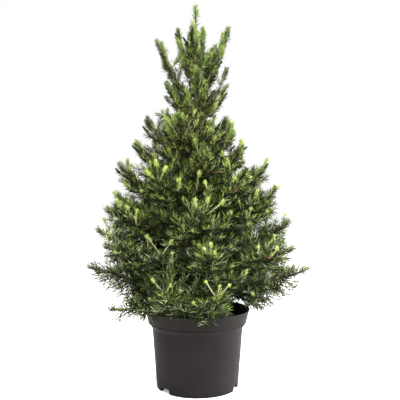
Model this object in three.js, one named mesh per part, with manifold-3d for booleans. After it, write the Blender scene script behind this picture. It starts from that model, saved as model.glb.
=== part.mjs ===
// A dwarf Alberta spruce in its plastic nursery pot, in millimetres, +Z up.
// The origin is the centre of the pot's underside, on the surface that it stands on.
// Angles are in degrees round +Z from +X, so 270 is the front.
import * as THREE from "three";
import { mergeVertices } from "three/addons/utils/BufferGeometryUtils.js";
import Module from "manifold-3d";

// ---------------------------------------------------------------- driving dimensions

const GAP = 0.3; // air left between two solids that touch on the real plant
const MASS_GAP = 0.8; // air between two neighbouring masses of needles

const POT = {
  sides: 48,
  wall: 2,
  footRadius: 73.6,
  footWidth: 6,
  bodyTopRadius: 82.2,
  bodyTop: 106.5,
  bandFootRadius: 88.3,
  bandFoot: 115.5,
  rimRadius: 95,
  rimTop: 140,
  lipHeight: 2,
  floorUnder: 7,
  floorOver: 9,
};
const NOTCH = { angles: [99, 219, 339], width: 26, height: 8, depth: 18 };

const SOIL = { edge: 119, crest: 124, seatRadius: 16, steps: 3 };

const TRUNK = {
  sides: 10,
  foot: SOIL.crest + GAP,
  tip: 676,
  point: 1,
  baseRadius: 7.6,
  tipRadius: 1.2,
  flareRadius: 4.2,
  flareHeight: 14,
  lean: [-3, 2],
  wave: 1.2,
  rings: [0, 0.012, 0.03, 0.07, 0.16, 0.28, 0.42, 0.56, 0.7, 0.84, 1],
};

const BOUGH = { sides: 8, startRadius: 3.4, endRadius: 2.5 };

// A mass of needles is lofted from where its limb enters it to the limb's tip.
// stations are the places of its rings on the way, and leastRadius keeps each ring open.
const MASS = {
  sides: 10,
  stations: [0, 0.14, 0.34, 0.56, 0.77, 0.93],
  unevenness: 0.2,
  leastRadius: 0.2,
};

const ENTRY_CLEAR = 1.5; // from the bark to the middle of a mass that starts on the trunk
const CORE_RADIUS = 26; // round the trunk, where the lowest boughs are bare
const CORE_SLACK = 5; // how far a mass may swell back past the end of its bough
const RIM_CLEAR = 1; // between the rim of the pot and the needles that hang over it

const LEADER = { foot: 566, tip: 694, girth: 15 };

// Each tier is a whorl of limbs. attach is the mean height at which they leave the trunk, stagger
// how far above or below it they do, girth the half-thickness of their masses, and bare says
// that a bough shows before its needles begin.
// A limb is [angle, reach of its tip from the pot's axis, height of its tip], and a fourth value is
// the height at which it leaves the trunk, where that isn't its whorl's.
const STAGGER = [-1, 0, 1, -0.3, 0.7, -0.7, 0.3];
const TIERS = [
  {
    name: "spire",
    attach: 536,
    stagger: 10,
    girth: 17,
    limbs: [
      [2, 57, 650, 500],
      [70, 30, 657],
      [136, 52, 656],
      [180, 75, 626, 508],
      [252, 32, 642],
      [312, 52, 600],
    ],
  },
  {
    name: "waist",
    attach: 472,
    stagger: 8,
    girth: 23,
    limbs: [
      [358, 54, 574],
      [70, 52, 566],
      [136, 58, 560],
      [186, 58, 548],
      [272, 48, 560],
    ],
  },
  {
    name: "shoulder",
    attach: 398,
    stagger: 8,
    girth: 44,
    limbs: [
      [6, 62, 472],
      [74, 84, 484],
      [134, 92, 486],
      [184, 92, 484, 382],
      [246, 82, 480],
      [310, 78, 476],
    ],
  },
  {
    name: "collar",
    attach: 350,
    stagger: 8,
    girth: 42,
    limbs: [
      [352, 82, 432],
      [98, 108, 436],
      [182, 114, 436],
      [276, 100, 424],
    ],
  },
  {
    name: "upper",
    attach: 308,
    stagger: 8,
    girth: 58,
    limbs: [
      [10, 130, 400],
      [66, 130, 392],
      [130, 138, 392],
      [186, 142, 400],
      [238, 132, 386],
      [310, 126, 386],
    ],
  },
  {
    name: "middle",
    attach: 256,
    stagger: 8,
    girth: 64,
    limbs: [
      [358, 142, 358],
      [42, 154, 330],
      [98, 154, 328],
      [160, 170, 348],
      [206, 172, 320],
      [270, 150, 322],
    ],
  },
  {
    name: "low",
    attach: 204,
    stagger: 8,
    girth: 60,
    limbs: [
      [0, 166, 297],
      [58, 168, 262],
      [112, 168, 264],
      [178, 184, 282],
      [214, 184, 262],
      [278, 166, 252],
      [328, 186, 256],
    ],
  },
  {
    name: "lower",
    attach: 164,
    stagger: 9,
    girth: 42,
    bare: true,
    limbs: [
      [349, 198, 216],
      [44, 172, 196],
      [94, 166, 194],
      [146, 176, 200],
      [180, 201, 216],
      [248, 150, 184],
      [282, 150, 180],
    ],
  },
  { name: "lowest", attach: 149, stagger: 0, girth: 20, bare: true, limbs: [[204, 166, 150]] },
];

// ---------------------------------------------------------------- helpers

const NEAREST_ROUNDS = 200; // settles the nearest points of two lines
const WELD = 1e-3; // vertices nearer than this are one

const radians = THREE.MathUtils.degToRad;
const lerp = THREE.MathUtils.lerp;
const UP = new THREE.Vector3(0, 0, 1);

const wasm = await Module();
wasm.setup();

function polar(radius, angle, z = 0) {
  return new THREE.Vector3(radius * Math.cos(radians(angle)), radius * Math.sin(radians(angle)), z);
}

// A closed mesh from rings of points, each anticlockwise seen from the last, and a point at each end.
function loft(rings, firstPoint, lastPoint) {
  const sides = rings[0].length;
  const points = [firstPoint, ...rings.flat(), lastPoint];
  const at = (ring, side) => 1 + ring * sides + (side % sides);
  const faces = [];
  for (let side = 0; side < sides; side++) {
    faces.push(0, at(0, side + 1), at(0, side));
    for (let ring = 0; ring + 1 < rings.length; ring++) {
      faces.push(at(ring, side), at(ring, side + 1), at(ring + 1, side + 1));
      faces.push(at(ring, side), at(ring + 1, side + 1), at(ring + 1, side));
    }
    faces.push(at(rings.length - 1, side), at(rings.length - 1, side + 1), points.length - 1);
  }
  const geometry = new THREE.BufferGeometry().setFromPoints(points);
  geometry.setIndex(faces);
  return geometry;
}

// A ring of points about a centre, square to a direction. radiusAt takes the turn and the ray.
function ringOf(centre, direction, sides, radiusAt) {
  const side = UP.clone().cross(direction);
  if (side.lengthSq() < 1e-6) side.set(1, 0, 0);
  side.normalize();
  const upward = direction.clone().cross(side).normalize();
  return Array.from({ length: sides }, (_, k) => {
    const turn = (2 * Math.PI * k) / sides;
    const ray = side.clone().multiplyScalar(Math.cos(turn)).addScaledVector(upward, Math.sin(turn));
    return centre.clone().addScaledVector(ray, radiusAt(turn, ray));
  });
}

// three.js geometry to a manifold-3d solid, and back.
function solidOf(geometry) {
  const bare = geometry.clone();
  bare.deleteAttribute("normal");
  bare.deleteAttribute("uv");
  const merged = mergeVertices(bare, WELD);
  return new wasm.Manifold(
    new wasm.Mesh({
      numProp: 3,
      vertProperties: merged.attributes.position.array,
      triVerts: new Uint32Array(merged.index.array),
    }),
  );
}

function geometryOf(solid) {
  const mesh = solid.getMesh();
  return new THREE.BufferGeometry()
    .setAttribute("position", new THREE.BufferAttribute(mesh.vertProperties, 3))
    .setIndex(new THREE.BufferAttribute(mesh.triVerts, 1));
}

// ---------------------------------------------------------------- pot and soil

function lathe(outline) {
  const profile = outline.map(([radius, height]) => new THREE.Vector2(radius, height));
  return new THREE.LatheGeometry(profile, POT.sides).rotateX(Math.PI / 2);
}

function bodyRadius(z) {
  return lerp(POT.footRadius, POT.bodyTopRadius, z / POT.bodyTop);
}

// A thin shell: a straight tapered body, a chamfer out to the wider band, and a plain lip.
// The floor is raised, so the pot stands on a flat foot ring, notched to let the water out.
function potGeometry() {
  const { wall, footRadius, footWidth, bodyTopRadius, bodyTop, bandFootRadius, bandFoot } = POT;
  const { rimRadius, rimTop, lipHeight, floorUnder, floorOver } = POT;
  const outline = [
    [0, floorUnder],
    [footRadius - footWidth, floorUnder],
    [footRadius - footWidth, 0],
    [footRadius, 0],
    [bodyTopRadius, bodyTop],
    [bandFootRadius, bandFoot],
    [rimRadius, rimTop - lipHeight],
    [rimRadius, rimTop],
    [rimRadius - wall, rimTop],
    [bandFootRadius - wall, bandFoot + wall / 2],
    [bodyTopRadius - wall, bodyTop + wall / 2],
    [bodyRadius(floorOver) - wall, floorOver],
    [0, floorOver],
  ];
  let pot = solidOf(lathe(outline));
  for (const angle of NOTCH.angles) {
    const block = new THREE.BoxGeometry(NOTCH.depth, NOTCH.width, 2 * NOTCH.height);
    block.rotateZ(radians(angle)).translate(...polar(footRadius, angle).toArray());
    pot = pot.subtract(solidOf(block));
  }
  return geometryOf(pot);
}

// The root ball fills the pot to below its rim, and rises a little towards the trunk.
function soilGeometry() {
  const inset = POT.wall + GAP;
  const bodyTop = POT.bodyTop + POT.wall / 2;
  const bandFoot = POT.bandFoot + POT.wall / 2;
  const edgeShare = (SOIL.edge - bandFoot) / (POT.rimTop - bandFoot);
  const edgeRadius = lerp(POT.bandFootRadius, POT.rimRadius, edgeShare) - inset;
  const outline = [
    [0, POT.floorOver + GAP],
    [bodyRadius(POT.floorOver) - inset, POT.floorOver + GAP],
    [POT.bodyTopRadius - inset, bodyTop],
    [POT.bandFootRadius - inset, bandFoot + GAP],
    [edgeRadius, SOIL.edge],
  ];
  for (let step = 1; step <= SOIL.steps; step++) {
    const share = step / SOIL.steps;
    const height = lerp(SOIL.edge, SOIL.crest, THREE.MathUtils.smoothstep(share, 0, 1));
    outline.push([lerp(edgeRadius, SOIL.seatRadius, share), height]);
  }
  outline.push([0, SOIL.crest]);
  return lathe(outline);
}

// ---------------------------------------------------------------- trunk and boughs

function trunkShare(z) {
  return THREE.MathUtils.clamp((z - TRUNK.foot) / (TRUNK.tip - TRUNK.foot), 0, 1);
}

// The trunk leans slightly and wavers once on its way up.
function trunkCentre(z) {
  const share = trunkShare(z);
  const wave = TRUNK.wave * Math.sin(2 * Math.PI * share);
  return new THREE.Vector3(TRUNK.lean[0] * share + wave, TRUNK.lean[1] * share - wave, z);
}

// An even taper, with the root flare dying away above the soil.
function trunkRadius(z) {
  const taper = lerp(TRUNK.baseRadius, TRUNK.tipRadius, trunkShare(z));
  return taper + TRUNK.flareRadius * Math.exp(-Math.max(0, z - TRUNK.foot) / TRUNK.flareHeight);
}

// The trunk, or the same shape swollen on all sides, to cut its neighbours with.
function trunkGeometry(swell = 0) {
  const rings = TRUNK.rings.map((share) => {
    const z = lerp(TRUNK.foot, TRUNK.tip, share);
    return ringOf(trunkCentre(z), UP, TRUNK.sides, () => trunkRadius(z) + swell);
  });
  const point = trunkCentre(TRUNK.tip).setZ(TRUNK.tip + TRUNK.point + swell);
  return loft(rings, trunkCentre(TRUNK.foot), point);
}

// Works out each limb's line: start on the trunk's axis, entry where its needles begin, and tip.
function limbOf(tier, [angle, reach, top, attach], index) {
  const z = attach ?? tier.attach + tier.stagger * STAGGER[index];
  const start = trunkCentre(z);
  const tip = polar(reach, angle, top);
  const direction = tip.clone().sub(start).normalize();
  const outward = Math.hypot(direction.x, direction.y);
  const clear = tier.bare ? CORE_RADIUS : trunkRadius(z) + ENTRY_CLEAR;
  const entry = start.clone().addScaledVector(direction, clear / outward);
  const name = `${tier.name}_${index + 1}`;
  return { name, angle, start, entry, tip, direction, girth: tier.girth, bare: tier.bare };
}

// One tapering limb, saddled on the trunk and cut square just short of its needles.
function boughGeometry(limb, trunkCutter) {
  const end = limb.entry.clone().addScaledVector(limb.direction, -GAP);
  const rings = [
    ringOf(limb.start, limb.direction, BOUGH.sides, () => BOUGH.startRadius),
    ringOf(end, limb.direction, BOUGH.sides, () => BOUGH.endRadius),
  ];
  return geometryOf(solidOf(loft(rings, limb.start, end)).subtract(trunkCutter));
}

// ---------------------------------------------------------------- masses of needles

// Half-thickness of a mass from its entry, 0, to its tip, 1, as a share of its girth.
function fullness(share) {
  return 0.42 + 0.58 * Math.sin(Math.PI * Math.pow(share, 0.8)) - 0.3 * Math.pow(share, 6);
}

// A smooth unevenness round and along a mass, from about -1 to 1, different for each seed.
function unevenness(seed, turn, share) {
  const threefold = Math.sin(3 * turn + 5 * share + 1.7 * seed);
  const twofold = Math.sin(2 * turn - 7 * share + 2.9 * seed);
  const fivefold = Math.sin(5 * turn + 3 * share + 4.3 * seed);
  return 0.45 * threefold + 0.35 * twofold + 0.2 * fivefold;
}

// A mass stays inside half-spaces, { normal, offset }, that part it from each of its neighbours.
// This one lies square to the shortest way from line a to line b, a share of that way from a.
function wallBetween(lineA, lineB, share, gap) {
  const a = lineA.getCenter(new THREE.Vector3());
  const b = new THREE.Vector3();
  for (let round = 0; round < NEAREST_ROUNDS; round++) {
    lineB.closestPointToPoint(a, true, b);
    lineA.closestPointToPoint(b, true, a);
  }
  const normal = b.clone().sub(a).normalize();
  return { normal, offset: normal.dot(a) + share * a.distanceTo(b) - gap };
}

// The half-space on the limb's own side of the trunk, or of the core where the boughs are bare.
function wallOffTrunk(limb) {
  const normal = polar(1, limb.angle).negate();
  const rises = Array.from({ length: 10 }, (_, k) => (limb.girth * k) / 10 - 2 * GAP);
  const offsets = rises.map((rise) => {
    const z = limb.entry.z + rise;
    const clear = limb.bare ? CORE_RADIUS - CORE_SLACK : trunkRadius(z) + GAP;
    return normal.dot(trunkCentre(z)) - clear;
  });
  return { normal, offset: Math.min(...offsets) };
}

function wallsRound(limb, neighbours) {
  const line = new THREE.Line3(limb.entry, limb.tip);
  const walls = [];
  for (const other of neighbours) {
    const share = limb.girth / (limb.girth + other.girth);
    walls.push(wallBetween(line, new THREE.Line3(other.entry, other.tip), share, MASS_GAP / 2));
    if (other.bare) {
      const bough = new THREE.Line3(other.start, other.entry);
      walls.push(wallBetween(line, bough, 1, BOUGH.startRadius + GAP));
    }
  }
  return walls;
}

// How far a ray can go from a point before it leaves one of the half-spaces.
function roomAlong(point, ray, walls) {
  let room = Infinity;
  for (const { normal, offset } of walls) {
    const closing = normal.dot(ray);
    if (closing > 1e-6) room = Math.min(room, (offset - normal.dot(point)) / closing);
  }
  return room;
}

function massGeometry(mass, walls, seed) {
  const rings = MASS.stations.map((share) => {
    const centre = mass.entry.clone().lerp(mass.tip, share);
    return ringOf(centre, mass.direction, MASS.sides, (turn, ray) => {
      const free = mass.girth * fullness(share) * (1 + MASS.unevenness * unevenness(seed, turn, share));
      return Math.max(MASS.leastRadius, Math.min(free, roomAlong(centre, ray, walls)));
    });
  });
  return loft(rings, mass.entry, mass.tip);
}

function limbMassGeometry(limb, neighbours, seed) {
  const walls = wallsRound(limb, neighbours);
  walls.push(wallOffTrunk(limb));
  walls.push({ normal: limb.direction.clone().negate(), offset: -limb.direction.dot(limb.entry) });
  walls.push({ normal: UP.clone().negate(), offset: -(POT.rimTop + RIM_CLEAR) });
  return massGeometry(limb, walls, seed);
}

// The leader's needles stand round the trunk's own tip, and are cut round it.
const leader = {
  entry: trunkCentre(LEADER.foot),
  tip: trunkCentre(TRUNK.tip).setZ(LEADER.tip),
  direction: UP,
  girth: LEADER.girth,
};

// ---------------------------------------------------------------- assembly

const POT_PLASTIC = new THREE.MeshStandardMaterial({ color: 0x373433, roughness: 0.55, metalness: 0 });
const POTTING_SOIL = new THREE.MeshStandardMaterial({ color: 0x1d1713, roughness: 1, metalness: 0 });
const BARK = new THREE.MeshStandardMaterial({ color: 0x6b4f3a, roughness: 0.9, metalness: 0 });
const NEEDLES = new THREE.MeshStandardMaterial({ color: 0x4a6326, roughness: 0.7, metalness: 0 });

const plant = new THREE.Group();

function add(name, geometry, material) {
  const mesh = new THREE.Mesh(geometry, material);
  mesh.name = name;
  plant.add(mesh);
}

const limbs = TIERS.flatMap((tier) => tier.limbs.map((limb, index) => limbOf(tier, limb, index)));
const trunkCutter = solidOf(trunkGeometry(GAP));
const leaderMass = solidOf(massGeometry(leader, wallsRound(leader, limbs), 1));

add("pot", potGeometry(), POT_PLASTIC);
add("soil", soilGeometry(), POTTING_SOIL);
add("trunk", trunkGeometry(), BARK);
add("needles_leader", geometryOf(leaderMass.subtract(trunkCutter)), NEEDLES);
limbs.forEach((limb, index) => {
  const neighbours = [leader, ...limbs.filter((other) => other !== limb)];
  add(`needles_${limb.name}`, limbMassGeometry(limb, neighbours, index + 2), NEEDLES);
  if (limb.bare) add(`bough_${limb.name}`, boughGeometry(limb, trunkCutter), BARK);
});

export default plant;
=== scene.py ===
# %% [markdown]
# # A dwarf Alberta spruce in its nursery pot
#
# This lesson turns a plain model of a potted spruce into a leafy one. The plain model, which is
# called the frame, gives the sizes and the places: a pot, its root ball, a trunk, a few bare
# boughs, and one closed mass for the needles of each limb. We keep all of those places and grow
# real wood and real needles inside them.
#
# Everything is worked out with numpy as whole arrays, so that more than a hundred and sixty
# thousand needles take seconds. Lengths are in metres and +Z is up.

import bpy
import numpy as np
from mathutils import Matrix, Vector
from mathutils.bvhtree import BVHTree


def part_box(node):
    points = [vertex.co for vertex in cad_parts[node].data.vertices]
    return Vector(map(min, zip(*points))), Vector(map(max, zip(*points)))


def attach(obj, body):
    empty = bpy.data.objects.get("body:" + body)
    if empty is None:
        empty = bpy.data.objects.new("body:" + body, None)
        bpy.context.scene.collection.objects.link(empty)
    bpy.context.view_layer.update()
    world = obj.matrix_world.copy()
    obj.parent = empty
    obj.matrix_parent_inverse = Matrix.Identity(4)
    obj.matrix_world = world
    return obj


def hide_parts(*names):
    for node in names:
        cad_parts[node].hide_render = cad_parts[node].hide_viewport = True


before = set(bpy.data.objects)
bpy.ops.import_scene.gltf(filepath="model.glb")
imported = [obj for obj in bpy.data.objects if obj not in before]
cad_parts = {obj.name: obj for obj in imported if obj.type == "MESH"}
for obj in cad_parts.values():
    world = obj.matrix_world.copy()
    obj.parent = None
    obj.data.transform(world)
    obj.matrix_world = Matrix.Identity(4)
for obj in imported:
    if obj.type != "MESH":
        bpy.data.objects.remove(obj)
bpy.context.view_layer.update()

SEED = 29
random = np.random.default_rng(SEED)
UP = np.array([0.0, 0.0, 1.0])
MM = 0.001

# %% [markdown]
# ## Camera, floor and light
#
# A product picture of a plant is taken level with its middle, with a lens a little longer than
# normal, so that the pot's rim and foot show as shallow ellipses. The light is a big soft box
# above and in front, a tall one at the right that draws a pale edge down the pot, and a white
# room all round. The standard view transform keeps the greens as they are mixed, where the
# filmic ones would grey them.

# %% Camera
CAMERA_PLACE, LENS = (0.0046, -1.04, 0.337), 51.3
camera = bpy.data.objects.new("camera", bpy.data.cameras.new("camera"))
bpy.context.scene.collection.objects.link(camera)
camera.location = CAMERA_PLACE
camera.rotation_euler = (np.pi / 2, 0, 0)
camera.data.sensor_width = 36
camera.data.lens = LENS
bpy.context.scene.camera = camera
bpy.context.scene.view_settings.view_transform = "Standard"
print("camera at", CAMERA_PLACE, "lens", LENS)


# %% Soft lights and a white room
def soft_light(name, place, aim, size, power):
    """A rectangular area light at place that faces aim: its -Z axis is turned along aim - place."""
    lamp = bpy.data.lights.new(name, "AREA")
    lamp.shape = "RECTANGLE"
    lamp.size, lamp.size_y = size
    lamp.energy = power
    holder = bpy.data.objects.new(name, lamp)
    bpy.context.scene.collection.objects.link(holder)
    holder.location = place
    direction = Vector(aim) - Vector(place)
    holder.rotation_euler = direction.to_track_quat("-Z", "Y").to_euler()
    print(name, power, "W")


soft_light("box_above", (-0.3, -0.9, 2.2), (0, 0, 0.35), (1.2, 1.0), 130)
soft_light("box_right", (1.5, 0.1, 0.7), (0, 0, 0.3), (0.8, 1.6), 118)

world = bpy.data.worlds.new("white_room")
bpy.context.scene.world = world
world.use_nodes = True
world.node_tree.nodes["Background"].inputs["Color"].default_value = (1, 1, 1, 1)
world.node_tree.nodes["Background"].inputs["Strength"].default_value = 1.0

# %% [markdown]
# ## Meshes from arrays
#
# Blender can take a mesh one face at a time, from its modifiers, or all at once from arrays. The
# plant has a few thousand twigs and far more needles, so arrays are the only quick way. Two
# helpers make nearly every piece: one turns corner and face arrays into an object that rides on
# the frame, and the other sweeps a round section along thousands of paths together. Three small
# measures come first, because nearly every later cell uses them.


# %% Measures of vectors and paths
def unit(vectors):
    """Each vector divided by its own length."""
    return vectors / np.maximum(np.linalg.norm(vectors, axis=-1, keepdims=True), 1e-12)


def from_axis(spots):
    """How far each spot is from the Z axis: the square root of x^2 + y^2."""
    return np.hypot(spots[..., 0], spots[..., 1])


def length_of(paths):
    """The length of each path: the sum of its steps."""
    return np.linalg.norm(np.diff(paths, axis=1), axis=2).sum(1)


# %% A piece from arrays
def piece_from(name, points, faces, material, slot, smooth=True):
    """A mesh piece from an (n, 3) array of corners and an (m, 3 or 4) array of corner numbers."""
    mesh = bpy.data.meshes.new(name)
    count, sides = faces.shape
    mesh.vertices.add(len(points))
    mesh.vertices.foreach_set("co", np.ascontiguousarray(points, np.float32).ravel())
    mesh.loops.add(count * sides)
    mesh.loops.foreach_set("vertex_index", np.ascontiguousarray(faces, np.int32).ravel())
    mesh.polygons.add(count)
    mesh.polygons.foreach_set("loop_start", np.arange(0, count * sides, sides, dtype=np.int32))
    mesh.polygons.foreach_set("use_smooth", np.full(count, smooth))
    mesh.update(calc_edges=True)
    mesh.materials.append(material)
    piece = bpy.data.objects.new(name, mesh)
    bpy.context.scene.collection.objects.link(piece)
    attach(piece, "root")
    print(f"{name}: {count * (sides - 2)} triangles")
    return piece


def joined(parts):
    """Several (corners, faces) pairs as one, with the later faces' numbers moved up."""
    starts = np.cumsum([0] + [len(points) for points, _ in parts])
    faces = [faces + start for (_, faces), start in zip(parts, starts)]
    return np.concatenate([points for points, _ in parts]), np.concatenate(faces)


# %% Round pieces and tubes
def grid_faces(rows, columns):
    """Triangles of a grid of corners whose columns close round on themselves, row after row."""
    row, column = np.meshgrid(np.arange(rows - 1), np.arange(columns), indexing="ij")
    a = row * columns + column
    b = row * columns + (column + 1) % columns
    quads = np.stack([a, b, b + columns, a + columns], -1).reshape(-1, 4)
    return np.concatenate([quads[:, [0, 1, 2]], quads[:, [0, 2, 3]]])


def tube_faces(rows, columns):
    """A grid's triangles, with a fan at each end that closes on the two corners added last."""
    first, last = rows * columns, rows * columns + 1
    side = np.arange(columns)
    after = (side + 1) % columns
    ring = (rows - 1) * columns
    foot = np.stack([after, side, np.full(columns, first)], -1)
    top = np.stack([ring + side, ring + after, np.full(columns, last)], -1)
    return np.concatenate([grid_faces(rows, columns), foot, top])


def tubes(paths, radii, sides):
    """Closed tapering tubes along many paths.

    Each path point P carries a ring P + r (u cos a + v sin a), where u and v are square to the
    path's heading there, and a runs once round. Returns corners and triangles."""
    count, rows, _ = paths.shape
    heading = unit(np.gradient(paths, axis=1))
    chord = unit(paths[:, -1] - paths[:, 0])
    spare = np.where(np.abs(chord[:, 2:]) < 0.8, UP, np.array([1.0, 0, 0]))
    aside = np.cross(spare, chord)[:, None]
    u = unit(aside - (aside * heading).sum(-1, keepdims=True) * heading)
    v = np.cross(heading, u)
    turn = np.linspace(0, 2 * np.pi, sides, endpoint=False)[:, None]
    ring = np.cos(turn) * u[:, :, None] + np.sin(turn) * v[:, :, None]
    points = paths[:, :, None] + radii[:, :, None, None] * ring
    points = points.reshape(count, rows * sides, 3)
    nose = paths[:, -1] + heading[:, -1] * radii[:, -1:]
    points = np.concatenate([points, paths[:, :1], nose[:, None]], axis=1)
    faces = tube_faces(rows, sides) + (np.arange(count) * (rows * sides + 2))[:, None, None]
    return points.reshape(-1, 3), faces.reshape(-1, 3)


# %% [markdown]
# ## Plain and patterned finishes
#
# A finish is a Principled shader. Needles and twigs are too small to show a pattern, so each kind
# has one plain colour, and the plant gets its variety from how the kinds are dealt out. The pot,
# the soil and the bark are large enough to carry a pattern, which comes from noise read in object
# coordinates, in metres, so that it stays put on the piece.


# %% Plain finish
def plain_finish(name, colour, roughness, gloss=0.4, bending=1.5):
    """A Principled shader with one base colour, for pieces too small to carry a pattern.

    bending is the index of refraction: the lower it is, the less the edges shine."""
    material = bpy.data.materials.new(name)
    material.use_nodes = True
    shader = material.node_tree.nodes["Principled BSDF"]
    shader.inputs["Base Color"].default_value = (*colour, 1)
    shader.inputs["Roughness"].default_value = roughness
    shader.inputs["Specular IOR Level"].default_value = gloss
    shader.inputs["IOR"].default_value = bending
    return material


# %% Patterned finish
def noise_ramp(tree, coordinates, scale, detail, stops, stretch):
    """Noise in object coordinates through a colour ramp: stops are (place, colour) pairs."""
    mapping = tree.nodes.new("ShaderNodeMapping")
    mapping.inputs["Scale"].default_value = stretch
    noise = tree.nodes.new("ShaderNodeTexNoise")
    noise.inputs["Scale"].default_value = scale
    noise.inputs["Detail"].default_value = detail
    ramp = tree.nodes.new("ShaderNodeValToRGB")
    while len(ramp.color_ramp.elements) < len(stops):
        ramp.color_ramp.elements.new(0.5)
    for element, (place, colour) in zip(ramp.color_ramp.elements, stops):
        element.position = place
        element.color = (*colour, 1)
    tree.links.new(coordinates.outputs["Object"], mapping.inputs["Vector"])
    tree.links.new(mapping.outputs["Vector"], noise.inputs["Vector"])
    tree.links.new(noise.outputs["Fac"], ramp.inputs["Fac"])
    return noise, ramp


def patterned_finish(
    name, scale, detail, stops, roughness, bump, bump_scale, stretch=(1, 1, 1), bending=1.4
):
    """Colour from one noise, and relief in metres from a finer one."""
    material = plain_finish(name, stops[0][1], roughness, 0.5, bending)
    tree = material.node_tree
    shader = tree.nodes["Principled BSDF"]
    coordinates = tree.nodes.new("ShaderNodeTexCoord")
    _, ramp = noise_ramp(tree, coordinates, scale, detail, stops, stretch)
    tree.links.new(ramp.outputs["Color"], shader.inputs["Base Color"])
    grain, _ = noise_ramp(tree, coordinates, bump_scale, 4, [(0, (0, 0, 0)), (1, (1, 1, 1))], stretch)
    relief = tree.nodes.new("ShaderNodeBump")
    relief.inputs["Distance"].default_value = bump
    relief.inputs["Strength"].default_value = 0.6
    tree.links.new(grain.outputs["Fac"], relief.inputs["Height"])
    tree.links.new(relief.outputs["Normal"], shader.inputs["Normal"])
    return material


# %% Pot, soil and bark
POT_PLASTIC = patterned_finish(
    "pot_plastic", 22, 6,
    [(0.3, (0.0098, 0.0084, 0.0081)), (0.7, (0.0132, 0.0115, 0.0110))],
    0.55, 0.00025, 1400, bending=1.11,
)
SOIL = patterned_finish(
    "potting_soil", 240, 8,
    [(0.3, (0.006, 0.0045, 0.0035)), (0.55, (0.022, 0.015, 0.010)), (0.75, (0.06, 0.04, 0.025))],
    0.95, 0.0012, 700,
)
BARK = patterned_finish(
    "bark", 130, 8,
    [(0.3, (0.035, 0.022, 0.015)), (0.5, (0.13, 0.078, 0.048)), (0.72, (0.26, 0.19, 0.135))],
    0.9, 0.0008, 420, (1, 1, 0.35),
)
print("finishes", POT_PLASTIC.name, SOIL.name, BARK.name)

# %% [markdown]
# ## Floor
#
# The floor only has to catch the pot's soft shadow. It is a wide pale sheet.

# %% Floor
FLOOR_REACH = 6
floor_corners = FLOOR_REACH * np.array([[-1, -1, 0], [1, -1, 0], [1, 1, 0], [-1, 1, 0]])
floor_mesh = bpy.data.meshes.new("floor")
floor_mesh.from_pydata(floor_corners.tolist(), [], [(0, 1, 2, 3)])
pale_floor = plain_finish("pale_floor", (0.86, 0.86, 0.86), 0.8, 0.1)
pale_floor.node_tree.nodes["Principled BSDF"].inputs["Emission Color"].default_value = (1, 1, 1, 1)
pale_floor.node_tree.nodes["Principled BSDF"].inputs["Emission Strength"].default_value = 0.3
floor_mesh.materials.append(pale_floor)
floor = bpy.data.objects.new("floor", floor_mesh)
bpy.context.scene.collection.objects.link(floor)
print("floor", 2 * FLOOR_REACH, "m wide")

# %% [markdown]
# ## The pot
#
# A nursery pot is a thin moulded shell: a tapered body, a chamfer out to a wider band that
# stiffens it, a rounded lip, and a foot ring with notches that let water out from under the
# raised floor. One closed outline turned about the pot's axis makes all of it. The corners of the
# outline are rounded first, because no moulded edge is sharp and the rounding is what catches
# the light. The notches are not cut: the foot is lifted there by a smooth step of the angle.


# %% Outlines with rounded corners
def rounded_outline(corners, steps=5):
    """Replaces each corner (radius, height, rounding) by a curve of steps points.

    The curve is the quadratic Bezier from the point that lies the rounding back along one edge to
    the point that far along the next, with the corner as its handle."""
    places = np.array([corner[:2] for corner in corners], float)
    outline = [places[0]]
    for k in range(1, len(places) - 1):
        back = unit(places[k - 1] - places[k])
        ahead = unit(places[k + 1] - places[k])
        rounding = corners[k][2]
        share = np.linspace(0, 1, steps)[:, None]
        start, end = places[k] + rounding * back, places[k] + rounding * ahead
        outline += list((1 - share) ** 2 * start + 2 * share * (1 - share) * places[k] + share**2 * end)
    return np.array(outline + [places[-1]])


def spun(outline, sides):
    """Corners and triangles of a closed outline turned about Z, with a pole at each end."""
    turn = np.linspace(0, 2 * np.pi, sides, endpoint=False)
    rings = outline[1:-1]
    points = np.stack(
        [
            rings[:, :1] * np.cos(turn),
            rings[:, :1] * np.sin(turn),
            np.broadcast_to(rings[:, 1:], (len(rings), sides)),
        ],
        -1,
    )
    poles = [[0, 0, outline[0, 1]], [0, 0, outline[-1, 1]]]
    return np.concatenate([points.reshape(-1, 3), poles]), tube_faces(len(rings), sides)


# %% Pot
FOOT_RADIUS, FOOT_WIDTH = 73.6 * MM, 6 * MM
NOTCHES, NOTCH_HALF_WIDTH, NOTCH_EDGE = np.radians([99, 219, 339]), 13.3 * MM, 2.2 * MM
NOTCH_TOPS = [6.9 * MM, 8.6 * MM]

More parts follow.
